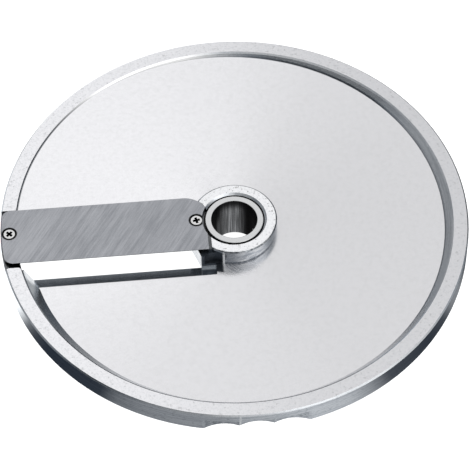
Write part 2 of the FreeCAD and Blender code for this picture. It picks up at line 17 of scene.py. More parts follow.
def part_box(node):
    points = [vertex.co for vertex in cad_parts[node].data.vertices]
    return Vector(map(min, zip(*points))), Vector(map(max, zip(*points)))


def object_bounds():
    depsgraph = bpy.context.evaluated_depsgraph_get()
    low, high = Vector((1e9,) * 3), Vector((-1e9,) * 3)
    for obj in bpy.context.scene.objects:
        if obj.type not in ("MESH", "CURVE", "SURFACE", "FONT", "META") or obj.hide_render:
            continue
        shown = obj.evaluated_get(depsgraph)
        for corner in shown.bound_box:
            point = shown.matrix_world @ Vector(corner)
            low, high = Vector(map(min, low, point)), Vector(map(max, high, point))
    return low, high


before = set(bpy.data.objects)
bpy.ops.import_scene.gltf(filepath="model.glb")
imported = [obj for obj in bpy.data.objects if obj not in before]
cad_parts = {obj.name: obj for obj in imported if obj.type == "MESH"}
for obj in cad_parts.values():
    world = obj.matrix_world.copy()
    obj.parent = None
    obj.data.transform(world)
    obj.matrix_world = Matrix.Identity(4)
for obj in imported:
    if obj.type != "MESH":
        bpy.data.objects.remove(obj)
drawn_box = [list(map(float, corner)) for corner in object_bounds()]
print("pieces in the drawing:", ", ".join(sorted(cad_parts)))
print("box in millimetres:", [[round(v * 1000, 1) for v in corner] for corner in drawn_box])

# %% [markdown]
# ## Places on the disc
#
# The finishes change from one region to the next: the rim's flat top, the plate, the boss, the blade's
# seat. Each region is found from a few lengths, so they are named once here, in metres. The radius and the
# height of the top face come from the drawing's box.

# %% Name the places
MM = 0.001
DISC_RADIUS = drawn_box[1][0]
TOP = drawn_box[1][2]
DISH_RADIUS = DISC_RADIUS - 6.5 * MM
BOSS_RADIUS = 18.75 * MM
GROOVE_RADIUS = 13.4 * MM
BUSH_RADIUS = 12.7 * MM
BORE_RADIUS = 10.0 * MM
BLADE_THICKNESS = 2.0 * MM
PLATE_START_DEPTH = 0.4 * MM
PLATE_END_DEPTH = 8.6 * MM
PLATE_START = math.radians(152)
PLATE_TRAVEL = math.radians(280)
GRIP_DEPTH = 4.3 * MM
SINK_RADIUS = 3.1 * MM
print(f"disc radius {DISC_RADIUS / MM:.1f} mm, top face at {TOP / MM:.1f} mm")

# %% [markdown]
# ## Writing shader maths as sums
#
# A finish is a long sum of patterns, and as loose nodes it would be hard to read. A small class wraps a
# node's output and gives it plus, minus and times, so that a formula reads as it does on paper.

# %% Wrap a socket


class Value:
    """A node's output that can be used in a sum; each operator adds one Math node."""

    def __init__(self, finish, socket):
        self.finish = finish
        self.socket = socket

    def math(self, operation, *others):
        return self.finish.node("Math", {"operation": operation}, {0: self, **dict(enumerate(others, 1))})

    def __add__(self, other):
        return self.math("ADD", other)

    def __sub__(self, other):
        return self.math("SUBTRACT", other)

    def __rsub__(self, other):
        return self.finish.node("Math", {"operation": "SUBTRACT"}, {0: other, 1: self})

    def __mul__(self, other):
        return self.math("MULTIPLY", other)

    def __truediv__(self, other):
        return self.math("DIVIDE", other)

    def __rtruediv__(self, other):
        return self.finish.node("Math", {"operation": "DIVIDE"}, {0: other, 1: self})

    def __pow__(self, other):
        return self.math("POWER", other)

    __radd__ = __add__
    __rmul__ = __mul__


print("sums on sockets are ready")

# %% [markdown]
# ## One method for every other node
#
# Noise, colour mixes and smooth steps need nodes of their own. They all come from one method, and the few
# that are used again and again get a short name, so that a mask is one line.

# %% Build nodes


class Finish:
    """The nodes of one material or of the world."""

    def __init__(self, holder):
        self.holder = holder
        holder.use_nodes = True
        self.tree = holder.node_tree
        self.tree.nodes.clear()

    def node(self, kind, settings=None, inputs=None, output=0):
        """Add a node: its type, its settings, and the values or links of its sockets."""
        made = self.tree.nodes.new("ShaderNode" + kind)
        for name, setting in (settings or {}).items():
            if name == "stops":
                for position, _ in setting[1:-1]:
                    made.color_ramp.elements.new(position)
                for element, (_, level) in zip(made.color_ramp.elements, setting):
                    element.color = grey(level)
            else:
                setattr(made, name, setting)
        for key, value in (inputs or {}).items():
            socket = made.inputs[key]
            if isinstance(value, Value):
                self.tree.links.new(value.socket, socket)
            else:
                socket.default_value = value
        return Value(self, made.outputs[output]) if made.outputs else None

    def parts(self, vector):
        """The x, y and z of a vector."""
        made = self.node("SeparateXYZ", {}, {0: vector}).socket.node
        return [Value(self, socket) for socket in made.outputs]

    def join(self, x, y, z):
        """A vector from three values."""
        return self.node("CombineXYZ", {}, {0: x, 1: y, 2: z})

    def rise(self, value, low, high):
        """Rise smoothly from 0 to 1 as the value goes from low to high."""
        return self.node("MapRange", {"interpolation_type": "SMOOTHSTEP"},
                         {0: value, 1: low, 2: high, 3: 0.0, 4: 1.0})

    def fall(self, value, low, high):
        """Fall smoothly from 1 to 0 as the value goes from low to high."""
        return 1 - self.rise(value, low, high)

    def between(self, value, low, high, soft):
        """1 while the value lies between the two, with ends as soft as asked."""
        return self.rise(value, low - soft, low + soft) * self.fall(value, high - soft, high + soft)

    def size_of(self, value):
        """The value without its sign."""
        return self.node("Math", {"operation": "ABSOLUTE"}, {0: value})

    def noise(self, vector, scale=1.0, detail=2.0, roughness=0.5):
        """Cloudy noise about 0.5."""
        return self.node("TexNoise", {}, {"Vector": vector, "Scale": scale, "Detail": detail,
                                          "Roughness": roughness, "Distortion": 0.0})

    def around(self, turn, stops):
        """Value that changes with the angle round the hub; each stop is degrees and a value."""
        share = self.node("Math", {"operation": "FRACT"}, {0: turn / (2 * math.pi) + 1.0})
        return self.node("ValToRGB", {"stops": [(angle / 360, level) for angle, level in stops]},
                         {"Fac": share})

    def shade(self, factor, first, second):
        """Colour that goes from the first to the second."""
        return self.node("Mix", {"data_type": "RGBA"}, {0: factor, 6: first, 7: second}, output=2)

    def cover(self, colour, layers):
        """Lay colours over a first one, each through its own mask, the last on top."""
        for mask, paint in layers:
            colour = self.shade(mask, colour, paint)
        return colour

    def metal(self, colour, rough, height, metallic=1.0):
        """Metal with a bumpy skin; the height is in metres."""
        bump = self.node("Bump", {}, {"Strength": 1.0, "Distance": 1.0, "Height": height})
        return self.node("BsdfPrincipled", {}, {
            "Base Color": colour, "Metallic": metallic, "Roughness": rough, "Normal": bump})


def grey(level, warm=0.0):
    """A grey with a touch of warmth, or of blue where it is below zero."""
    return (level * (1 + warm), level, level * (1 - warm), 1.0)


def new_finish(name):
    """An empty material under that name."""
    return Finish(bpy.data.materials.new(name))


print("nodes for masks, noise and metal are ready")

# %% [markdown]
# ## Where a point lies
#
# Every pattern here is turned about the hub's axis or ground along the blade, so the materials work from
# the distance to the axis, the angle round it, the height, and how far the surface looks up. The plate is
# a ramp that sinks as it goes clockwise round the hub, so its height follows from the angle alone.

# %% Read a point's place


def place(finish):
    """Object coordinates, the distance to the hub's axis and the angle round it."""
    where = finish.node("TexCoord", output="Object")
    x, y, z = finish.parts(where)
    away = (x * x + y * y) ** 0.5
    turn = finish.node("Math", {"operation": "ARCTAN2"}, {0: y, 1: x})
    return SimpleNamespace(where=where, x=x, y=y, z=z, away=away, turn=turn)


def facing_up(finish):
    """1 where the surface looks straight up, 0 where it is upright, -1 underneath."""
    return finish.parts(finish.node("NewGeometry", output="Normal"))[2]


def above_plate(at):
    """Height over the plate: the ramp's start, less its even drop up to this angle."""
    drop_per_turn = (PLATE_END_DEPTH - PLATE_START_DEPTH) / PLATE_TRAVEL
    return at.z - (TOP - PLATE_START_DEPTH - (PLATE_START - at.turn) * drop_per_turn)


print("patterns read Object coordinates")

# %% [markdown]
# ## Cast aluminium: its regions
#
# The casting has three finishes. The flat tops of the rim and boss are faced on a lathe and fine-brushed,
# the plate is polished but keeps a ripple from the casting, and the walls keep a duller skin. One material
# could be split over three sets of faces, but the drawing keeps the casting as one piece, so masks tell
# the regions apart by height, distance, and which way the surface looks.

# %% Mask the casting's regions


def casting_regions(finish, at, up):
    """Masks that are 1 on one region of the casting and 0 elsewhere."""
    rise, fall, between = finish.rise, finish.fall, finish.between
    x, y, z, away, turn = at.x, at.y, at.z, at.away, at.turn
    on = SimpleNamespace()

    # Which way the surface looks
    on.level = rise(up, 0.965, 0.99)
    on.upright = fall(finish.size_of(up), 0.05, 0.3)
    on.underneath = fall(up, -0.5, -0.2)
    on.leaning = between(up, 0.35, 0.75, 0.05)
    on.lip = between(up, 0.945, 0.976, 0.006)

    # Faced tops and the edges round them
    on.flat_top = rise(z, TOP - 0.3 * MM, TOP - 0.1 * MM) * rise(up, 0.97, 0.995)
    on.boss_top = fall(away, BOSS_RADIUS + 0.1 * MM, BOSS_RADIUS + 0.4 * MM)
    on.boss_bevel = (between(away, BOSS_RADIUS - 0.6 * MM, BOSS_RADIUS + 0.2 * MM, 0.1 * MM)
                     * rise(z, TOP - 0.6 * MM, TOP - 0.4 * MM))
    on.rim_bevel = (between(away, DISH_RADIUS - 0.8 * MM, DISH_RADIUS - 0.1 * MM, 0.1 * MM)
                    * rise(z, TOP - 1.0 * MM, TOP - 0.8 * MM) * (1 - on.flat_top)
                    * fall(x * 0.8 + y * 0.9, -15 * MM, 35 * MM) * (1 - between(turn, -1.10, 0.10, 0.15)))
    on.dark_edge = (rise(away, DISC_RADIUS - 0.7 * MM, DISC_RADIUS - 0.5 * MM)
                    * rise(z, TOP - 0.9 * MM, TOP - 0.7 * MM)
                    * rise(x, 30 * MM, 50 * MM) * rise(y, -40 * MM, -10 * MM))

    # Walls
    on.far_left = rise(y, 30 * MM, 50 * MM) * fall(x, -16 * MM, 4 * MM)
    on.boss_wall = on.upright * fall(away, BOSS_RADIUS + 0.2 * MM, BOSS_RADIUS + 0.6 * MM)
    on.shaded_side = on.boss_wall * fall(x, -4 * MM, 4 * MM)
    # Painted highlight: the edge where the lug runs into the boss.
    on.worn_edge = (on.upright * between(x, -6.6 * MM, -5.7 * MM, 0.2 * MM)
                    * fall(y, -16 * MM, -15 * MM))
    on.slot_side = (fall(x, -68 * MM, -45 * MM) * fall(y, -25 * MM, -21.5 * MM)
                    * between(up, 0.35, 0.62, 0.05))
    on.grip = (rise(away, DISC_RADIUS - GRIP_DEPTH - 0.5 * MM, DISC_RADIUS - GRIP_DEPTH - 0.1 * MM)
               * fall(away, DISC_RADIUS - 1.0 * MM, DISC_RADIUS - 0.5 * MM)
               * on.upright * fall(z, TOP - 4.2 * MM, TOP - 3.8 * MM))

    # Hollows by the blade and the bush
    on.groove = (fall(away, GROOVE_RADIUS + 0.05 * MM, GROOVE_RADIUS + 0.2 * MM)
                 * fall(z, TOP - 1.4 * MM, TOP - 0.7 * MM))
    seat_level = TOP - BLADE_THICKNESS
    on.seat_floor = (between(z, seat_level - 0.4 * MM, seat_level + 0.4 * MM, 0.2 * MM) * on.level
                     * fall(x, -10.5 * MM, -9.5 * MM) * between(y, -18.5 * MM, 14 * MM, 0.4 * MM))
    lug_foot = -19.8 * MM - (x + 15.6 * MM) * 0.295
    on.lug = (between(x, -15.9 * MM, -6.6 * MM, 0.6 * MM)
              * rise(y, lug_foot - 0.4 * MM, lug_foot + 0.3 * MM) * fall(y, -15 * MM, -13.5 * MM)
              * between(z, TOP - PLATE_END_DEPTH - 0.4 * MM, TOP - 0.9 * MM, 0.3 * MM))
    on.lug_front = (on.upright * between(x, -16.3 * MM, -8.8 * MM, 0.3 * MM)
                    * between(y, -27 * MM, -18.5 * MM, 0.3 * MM))

    # Plate in front of the boss, where a brush was worked round it
    on.near_boss = (on.level * (1 - on.flat_top)
                    * fall(away, BOSS_RADIUS + 1.5 * MM, BOSS_RADIUS + 8.5 * MM)
                    * fall(y, -14 * MM, -6 * MM) * fall(x, 4 * MM, 12 * MM))
    return on


print("the casting's regions have masks")

# %% [markdown]
# ## Cast aluminium: its marks
#
# A lathe leaves rings, a brush leaves scuffs, and the mould leaves a grainy skin. All are cloudy noise that
# is squeezed or stretched: where the noise runs fast along one direction and slowly along the other, it
# becomes streaks. Scales are in cycles a metre, or a radian where the angle is used.

# %% Make the casting's marks


def casting_marks(finish, at):
    """Noise patterns for each tool that left its mark, all about 0.5."""
    x, y, z, away, turn = at.x, at.y, at.z, at.away, at.turn
    return SimpleNamespace(
        ripple=finish.noise(at.where, 90.0, 2.0),
        cloud=finish.noise(at.where, 430.0, 3.0, 0.6),
        pits=finish.noise(at.where, 620.0, 3.0, 0.6),
        grain=finish.noise(at.where, 1400.0, 4.0, 0.6),
        rings=finish.noise(finish.join(away * 6000.0, turn * 6.0, z * 200.0), 1.0, 3.0, 0.6),
        scuffs=finish.noise(finish.join(x * 420.0 + y * 900.0, y * 260.0 - x * 500.0, z * 500.0),
                            1.0, 4.0, 0.65),
        lathe=finish.noise(finish.join(turn * 4.0, z * 1500.0, away * 300.0), 1.0, 4.0, 0.65),
        skin=finish.noise(finish.join(turn * 60.0, z * 900.0, away * 900.0), 1.0, 5.0, 0.7),
        swirl=finish.noise(finish.join(turn * 32.0 - away * 1820.0, away * 150.0, z * 10.0),
                           1.0, 3.0, 0.6))


print("the casting's marks are noise, stretched along the tool's path")

# %% [markdown]
# ## Cast aluminium: its colours
#
# Metal has little colour of its own. Polished aluminium is nearly white. Where the skin of the mould stays
# it goes blue-grey, and in hollows, creases, bevels and on the walls' dark sides painted shade takes it to
# blue-grey or black. So the colour starts from bare metal with a painted sheen, and each layer is laid over
# it through its mask.

# %% Name the shades
WHITE = (1.0, 1.0, 1.0, 1)
BRIGHT_CUT_AND_HIGHLIGHT = (0.97, 0.99, 1.0, 1)
CLEAN_WALL = (0.785, 0.81, 0.84, 1)
PLATE_SHEEN_WHITE = (0.995, 0.995, 1.022, 1)
RIM_SHEEN = (1.0, 1.0, 1.03, 1)
FACED_BOSS = (0.955, 0.96, 0.98, 1)
CAST_UNDERSIDE = (0.42, 0.45, 0.48, 1)
CONE_STREAK = (0.30, 0.33, 0.37, 1)
CONE_SKIN = (0.22, 0.25, 0.29, 1)
WALL_STREAK = (0.26, 0.30, 0.35, 1)
WALL_SKIN = (0.20, 0.23, 0.27, 1)
RIGHT_WALL_SHADE = (0.22, 0.26, 0.31, 1)
SHADED_WALL = (0.16, 0.19, 0.24, 1)
GRIP_SKIN = (0.20, 0.23, 0.26, 1)
LIP_SHADE = (0.16, 0.19, 0.22, 1)
FOOT_SHADE = (0.10, 0.11, 0.13, 1)
ROOT_SHADE = (0.10, 0.12, 0.15, 1)
SLOT_SHADE = (0.10, 0.12, 0.14, 1)
BEVEL_SHADE = (0.10, 0.11, 0.12, 1)
EDGE_SHADE = (0.06, 0.07, 0.08, 1)
SEAT_SHADE = (0.05, 0.055, 0.06, 1)
LUG_SHADE = (0.055, 0.068, 0.088, 1)
LUG_FRONT_SHADE = (0.05, 0.06, 0.08, 1)
LUG_TOP_SHADE = (0.012, 0.016, 0.022, 1)

# Painted sheen: how light the plate is painted round the hub, in degrees and a share of its white
PAINTED_SHEEN = [(0, 0.650), (30, 0.660), (60, 0.705), (90, 0.81), (120, 0.870), (150, 0.88), (195, 0.87),
         (210, 0.81), (240, 0.745), (270, 0.715), (300, 0.67), (330, 0.66), (360, 0.650)]
print("clean metal and", len(PAINTED_SHEEN), "steps of sheen round the plate")

# %% [markdown]
# ## Cast aluminium: walls, tops and edges
#
# The boss's wall is turned, so bright and dark streaks run level round it; its right side is painted darker
# as shade.
# The rim's inner wall leans back; its streaks and skin fade at the front right as painted light, and at the
# far left it is painted white as a reflection. The tops carry grain, scuffs and nicks. The blade's seat, the
# lug, the groove round the bush, the walls' feet, the bevels, the lip and the slot's side are painted dark
# as shade.

# %% Lay the casting's layers


def wall_layers(finish, at, on, marks, height):
    """Masks and colours of the boss's wall and the rim's inner wall."""
    rise, fall = finish.rise, finish.fall
    # Painted light: the cone wall's streaks and skin fade at the front right, so that side is painted
    # lighter.
    painted_light_fade = 1 - finish.between(at.turn, -1.05, -0.30, 0.15) * 0.8
    return [
        (on.upright * rise(marks.lathe, 0.38, 0.68) * (1 - on.boss_wall) * 0.35, WALL_STREAK),
        (on.boss_wall * rise(marks.lathe, 0.50, 0.60) * 0.62, WALL_STREAK),
        (on.boss_wall * fall(marks.lathe, 0.38, 0.46) * 0.80, BRIGHT_CUT_AND_HIGHLIGHT),
        (on.upright * rise(marks.skin, 0.50, 0.72) * (0.45 - on.boss_wall * 0.28), WALL_SKIN),
        # Painted shade: the boss wall is painted darker on its right side.
        (on.boss_wall * rise(at.x, 9.5 * MM, 14.5 * MM) * 0.64, RIGHT_WALL_SHADE),
        (on.leaning * rise(marks.lathe, 0.42, 0.66) * painted_light_fade * 0.40, CONE_STREAK),
        (on.leaning * rise(marks.skin, 0.50, 0.70) * painted_light_fade * 0.35, CONE_SKIN),
        # Painted reflection: the cone wall at the far left is painted white.
        (on.leaning * on.far_left * 0.85, WHITE),
        # Painted shade along the foot of the far-left cone wall.
        (on.leaning * on.far_left * fall(height, 0.2 * MM, 0.6 * MM) * 0.85, FOOT_SHADE),
        (on.shaded_side * 0.50, SHADED_WALL),
        # Painted shade along the foot of the rest of the cone wall.
        (on.leaning * (1 - on.far_left) * fall(height, 0.3 * MM, 0.8 * MM) * 0.45, FOOT_SHADE)]


def top_layers(finish, on, marks):
    """Masks and colours of the faced tops, the plate and the underside."""
    rise = finish.rise
    nicks = rise(marks.pits, 0.61, 0.66) * on.flat_top
    haze = rise(marks.cloud, 0.40, 0.70) * 0.07 + rise(marks.grain, 0.4, 0.7) * 0.04
    return [
        # Painted shade: a dark line on the rim's outer edge at the right.
        (on.dark_edge * 0.75, EDGE_SHADE),
        (on.flat_top * rise(marks.grain, 0.45, 0.70) * 0.34, grey(0.55, -0.05)),
        (on.flat_top * rise(marks.scuffs, 0.52, 0.72) * 0.22, grey(0.45, -0.02)),
        (on.underneath * rise(marks.cloud, 0.30, 0.75) * 0.45, CAST_UNDERSIDE),
        (on.level * (1 - on.flat_top) * haze, grey(0.40)),
        (nicks * (on.boss_top * 0.40 + 0.25), grey(0.20))]


def painted_light_and_skin_layers(finish, at, on, marks, up):
    """Masks and colours of painted shade in lines and hollows, a painted highlight by the lug, and the
    grip's skin.
    """
    rise = finish.rise
    return [
        # Painted shade at the boss wall's root.
        (on.root_line, ROOT_SHADE),
        # Painted shade on the slot's lip, darker towards the hub.
        (on.lip * (rise(at.x, -100 * MM, -20 * MM) * 0.42 + 0.18), LIP_SHADE),
        # Painted shade on the slot's side wall.
        (on.slot_side * 0.75, SLOT_SHADE),
        # Painted shade on the blade's seat floor.
        (on.seat_floor * 0.90, SEAT_SHADE),
        (on.grip * rise(marks.skin, 0.30, 0.70) * 0.75, GRIP_SKIN),
        # Painted shade on the rim's inner bevel, left off at the right.
        (on.rim_bevel * 0.80, BEVEL_SHADE),
        # Painted shade on the boss's bevel, broken by scuffs.
        (on.boss_bevel * (rise(marks.scuffs, 0.35, 0.60) * 0.5 + 0.45), EDGE_SHADE),
        # Painted shade on the lug, its front and the plate at its foot, darkest on its level parts.
        (on.lug * (rise(marks.skin, 0.25, 0.75) * 0.10 + 0.86), LUG_SHADE),
        (on.lug_front * 0.85, LUG_FRONT_SHADE),
        (on.lug * rise(up, 0.60, 0.90) * 0.70, LUG_TOP_SHADE),
        # Painted highlight on the edge where the lug meets the boss.
        (on.worn_edge * 0.80, BRIGHT_CUT_AND_HIGHLIGHT),
        # Painted shade in the groove round the bush.
        (on.groove, grey(0.015))]


print("walls, tops and dirt have their layers")

# %% [markdown]
# ## Cast aluminium: the material
#
# The plate's sheen round the hub is painted into its colour, and the rim's flat top is painted lighter at
# the left. Bright streaks, brush marks and the painted highlight on the edge by the lug scatter the light,
# so they are a little less like a mirror than the rest. The bump heights are a few thousandths of a
# millimetre.

# %% Make the cast aluminium


def cast_aluminium():
    finish = new_finish("cast aluminium")
    rise, fall = finish.rise, finish.fall
    at = place(finish)
    up = facing_up(finish)
    height = above_plate(at)
    on = casting_regions(finish, at, up)
    marks = casting_marks(finish, at)
    # Painted shade: a dark line at the root of the boss wall, broken by scuffs.
    on.root_line = (on.boss_wall * fall(height, 0.3 * MM, 0.9 * MM)
                    * (rise(marks.scuffs, 0.30, 0.55) * 0.5 + 0.4))
    brushed = on.near_boss * rise(marks.swirl, 0.42, 0.58)

    # Painted sheen: level metal takes its lightness from the ramp round the hub, and the faced tops are laid
    # over it.
    sheened = finish.cover(finish.shade(finish.around(at.turn, PAINTED_SHEEN), grey(0.0), PLATE_SHEEN_WHITE), [
        # Painted light: the rim's flat top is painted lighter, most at the left and least at the right.
        (on.flat_top * (0.55 - rise(at.x, -70 * MM, 30 * MM) * 0.45), RIM_SHEEN),
        (on.boss_top * on.flat_top, FACED_BOSS)])
    colour = finish.cover(
        finish.shade(on.level, CLEAN_WALL, sheened),
        wall_layers(finish, at, on, marks, height) + top_layers(finish, on, marks)
        + painted_light_and_skin_layers(finish, at, on, marks, up))

    streak = (on.boss_wall * fall(marks.lathe, 0.38, 0.50) * fall(at.x, 16 * MM, 18.5 * MM)
              * (1 - on.root_line) * (1 - on.shaded_side))
    right_cone = on.leaning * (1 - on.far_left) * rise(at.x, 0.0, 40 * MM) * rise(height, 0.6 * MM, 1.4 * MM)
    metallic = 1 - brushed * 0.30 - streak * 0.45 - on.worn_edge * 0.50 - right_cone * 0.34
    rough = (0.20 + (marks.grain - 0.5) * 0.06 + (marks.scuffs - 0.5) * 0.10 + on.flat_top * 0.10
             + on.lug * 0.25 + on.underneath * 0.15 + brushed * 0.22)
    skin_height = (marks.ripple * (1 - on.flat_top) * 8.0e-6 + marks.grain * 1.4e-6
                   + marks.scuffs * on.flat_top * 4.0e-6 + marks.rings * on.flat_top * 1.2e-6
                   + marks.lathe * on.upright * 4.0e-6)
    finish.node("OutputMaterial", {}, {0: finish.metal(colour, rough, skin_height, metallic)})
    print("cast aluminium has", len(finish.tree.nodes), "nodes")
    return finish.holder


# %% [markdown]
# ## Ground blade steel
#
# A blade is ground flat on a magnetic table, and the wheel leaves slanted streaks from edge to edge. Noise
# stretched along the streaks' direction gives both their faint shade and their glitter. The tone is painted
# lighter towards the outer end, the sides are painted dark as shade, and the steps round the screws are
# painted black as shade.

# %% Make the blade steel
STREAK_SLANT = math.radians(57)
DARK_STREAK = (0.290, 0.300, 0.325, 1)
PALE_STREAK = (0.470, 0.480, 0.510, 1)
BLADE_SIDE_SHADE = (0.04, 0.045, 0.05, 1)
screw_boxes = [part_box(name) for name in ("blade_screw_outer", "blade_screw_inner")]
SCREW_PLACES = [((low[0] + high[0]) / 2, (low[1] + high[1]) / 2) for low, high in screw_boxes]
print("screws stand at", [(round(x / MM, 2), round(y / MM, 2)) for x, y in SCREW_PLACES], "mm")


def blade_steel():
    finish = new_finish("blade steel")
    at = place(finish)
    along = at.x * math.cos(STREAK_SLANT) + at.y * math.sin(STREAK_SLANT)
    over = at.y * math.cos(STREAK_SLANT) - at.x * math.sin(STREAK_SLANT)
    fine = finish.noise(finish.join(along * 110.0, over * 2900.0, at.z * 900.0), 1.0, 3.0, 0.65)
    broad = finish.noise(finish.join(along * 45.0, over * 700.0, at.z * 400.0), 1.0, 3.0, 0.6)
    cloud = finish.noise(at.where, 60.0, 2.0)
    speckle = finish.noise(at.where, 2400.0, 3.0, 0.7)

    gaps = [((at.x - x) * (at.x - x) + (at.y - y) * (at.y - y)) ** 0.5 for x, y in SCREW_PLACES]
    # Masks of the painted shade in each screw's countersink step and in a thin ring round it.
    in_sink = sum(finish.fall(gap, SINK_RADIUS, SINK_RADIUS + 0.2 * MM) for gap in gaps)
    sink_ring_shade = sum(finish.fall(gap, SINK_RADIUS + 0.2 * MM, SINK_RADIUS + 0.5 * MM) for gap in gaps)
    sink_shade = finish.node("Math", {"operation": "MAXIMUM"}, {
        0: in_sink * finish.fall(at.z, TOP - 0.4 * MM, TOP - 0.1 * MM), 1: sink_ring_shade * 0.9})

    # Painted light: the tone grows lighter towards the blade's outer end, where x is most negative.
    tone = ((fine - 0.5) * 1.8 + (broad - 0.5) * 1.7 + (cloud - 0.5) * 0.8 + (speckle - 0.5) * 1.6
            - at.x * 1.8 + 0.45)
    side = finish.fall(facing_up(finish), 0.3, 0.7)
    colour = finish.cover(finish.shade(tone, DARK_STREAK, PALE_STREAK), [
        # Painted shade on the blade's sides.
        (side * 0.85, BLADE_SIDE_SHADE),
        # Painted shade in the screws' countersink steps and a thin ring round them.
        (sink_shade, grey(0.01))])
    rough = 0.34 + (fine - 0.5) * 0.12
    height = fine * 3.0e-6 + broad * 4.0e-6
    finish.node("OutputMaterial", {}, {0: finish.metal(colour, rough, height)})
    return finish.holder


# %% [markdown]
# ## Bored bush steel
#
# The bush is turned, so its end shows rings. Its bore is painted nearly black as shade, apart from a painted
# reflection: a bright band at the back, darker near the top, and a fainter band further round. Metal that is
# seen along its surface always shines, so black colour alone can't darken the bore, and a dull black shader
# is mixed over the metal there as painted shade.

# %% Make the bush steel
BAND_MIDDLE = 1.62
SECOND_BAND_MIDDLE = 2.30
BORE_SHADE = (0.006, 0.006, 0.007, 1)
BORE_HIGHLIGHT = (0.78, 0.80, 0.83, 1)


def bush_steel():
    finish = new_finish("bush steel")
    rise, fall = finish.rise, finish.fall
    at = place(finish)
    bore = fall(at.away, BORE_RADIUS + 0.05 * MM, BORE_RADIUS + 0.3 * MM)
    outside = (rise(at.away, BUSH_RADIUS - 0.08 * MM, BUSH_RADIUS - 0.02 * MM)
               * fall(at.z, TOP - 1.2 * MM, TOP - 0.8 * MM))
    rings = finish.noise(finish.join(at.away * 5000.0, at.turn * 3.0, at.z * 2600.0), 1.0, 3.0, 0.6)
    scores = finish.noise(finish.join(at.turn * 14.0, at.z * 40.0, at.away * 300.0), 1.0, 3.0, 0.6)

    # Painted reflection: a bright band at the back of the bore, darker near the top, and a fainter band
    # further round; the rest of the bore is painted shade.
    from_band = finish.size_of(at.turn - BAND_MIDDLE)
    from_second = finish.size_of(at.turn - SECOND_BAND_MIDDLE)
    band = (fall(from_band, 0.16, 0.80) * (1 - rise(at.z, TOP - 7.5 * MM, TOP - 1.5 * MM) * 0.8)
            * (rise(scores, 0.30, 0.70) * 0.6 + 0.4)
            + fall(from_second, 0.04, 0.16) * fall(at.z, TOP - 15 * MM, TOP - 6 * MM) * 0.30)

    in_bore = finish.shade(band, grey(0.010), BORE_HIGHLIGHT)
    colour = finish.cover(finish.shade(rings, grey(0.60, -0.01), grey(0.74, -0.01)), [
        (bore, in_bore),
        # Painted shade on the bush's outside, seen down the groove.
        (outside, grey(0.015))])
    steel = finish.metal(colour, 0.28 + (rings - 0.5) * 0.15, rings * 2.0e-6)
    # A dull black shader, mixed over the bore's sides as painted shade.
    dull_shade = finish.node("BsdfPrincipled", {}, {
        "Base Color": BORE_SHADE, "Metallic": 0.0, "Roughness": 0.9, "Specular IOR Level": 0.05})
    both = finish.node("MixShader", {}, {0: bore * (1 - band) * 0.85, 1: steel, 2: dull_shade})
    finish.node("OutputMaterial", {}, {0: both})
    return finish.holder


print("bush steel has its bright band", round(math.degrees(BAND_MIDDLE)), "degrees round the hub")

# %% [markdown]
# ## Bright screw steel
#
# The screws are bright, and the cross pressed into each head is painted black as shade.

# %% Make the screw steel


def screw_steel():
    finish = new_finish("screw steel")
    at = place(finish)
    grain = finish.noise(at.where, 2500.0, 3.0, 0.6)
    # Painted shade in the cross and below the head's top.
    deep = finish.fall(at.z, TOP - 0.65 * MM, TOP - 0.30 * MM)
    colour = finish.cover(finish.shade(grain, grey(0.66), grey(0.78)), [(deep, grey(0.008))])
    rough = 0.26 + (grain - 0.5) * 0.12
    finish.node("OutputMaterial", {}, {0: finish.metal(colour, rough, grain * 2.0e-6)})
    return finish.holder


print("screw steel goes black 0.3 to 0.65 mm down")

# %% [markdown]
# ## Metal on every piece
#
# A piece keeps its mesh from the drawing and only gets a material. Both screws share one.

# %% Give every piece its metal
METALS = {"disc_body": cast_aluminium(), "slicing_blade": blade_steel(), "hub_bush": bush_steel()}
METALS["blade_screw_outer"] = METALS["blade_screw_inner"] = screw_steel()
for name, metal in METALS.items():
    for slot in bpy.data.objects[name].material_slots:
        slot.material = metal
    print(f"{name}: {metal.name}")

# %% [markdown]
# ## The table
#
# Polished metal shows the room more than itself. The photographed disc stands on pure white, yet its upright
# walls show dark and pale patches in turn. So the table is white to the camera, where it keeps a faint
# shadow, while rays that leave the metal meet pale and dark cards laid round the disc. Light Path tells
# these rays apart, and a ramp over the angle round the disc lays the cards. Below the disc the table stays
# white, but dark inside the bore. From below, the camera looks through it.

# %% Lay the floor
FLOOR_HALF = 3.0
CARD_STRENGTH = 1.35
DARK_CARD = (0.004, 0.010, 0.020, 1)
PALE_CARD = (0.985, 1.0, 1.015, 1)

# Brightness of the cards round the hub, in degrees and a share of white
CARDS = [(0, 0.05), (8, 0.10), (30, 0.05), (150, 1.2), (186, 1.35), (193, 1.35), (199, 0.20), (203, 0.05),
         (208, 0.02), (228, 0.03), (233, 0.18), (240, 0.26), (262, 0.33), (268, 0.45), (286, 0.65),
         (296, 0.58), (303, 0.33), (309, 0.07), (325, 0.03), (332, 0.06), (338, 0.26), (343, 0.26),
         (349, 0.08), (356, 0.04), (360, 0.05)]


def level_square(name, half):
    """Level square about the hub's axis, at no height: four corners, one face."""
    corners = np.array([(-1, -1, 0), (1, -1, 0), (1, 1, 0), (-1, 1, 0)], dtype=float) * half
    mesh = bpy.data.meshes.new(name)
    mesh.from_pydata(corners.tolist(), [], [(0, 1, 2, 3)])
    thing = bpy.data.objects.new(name, mesh)
    bpy.context.scene.collection.objects.link(thing)
    return thing


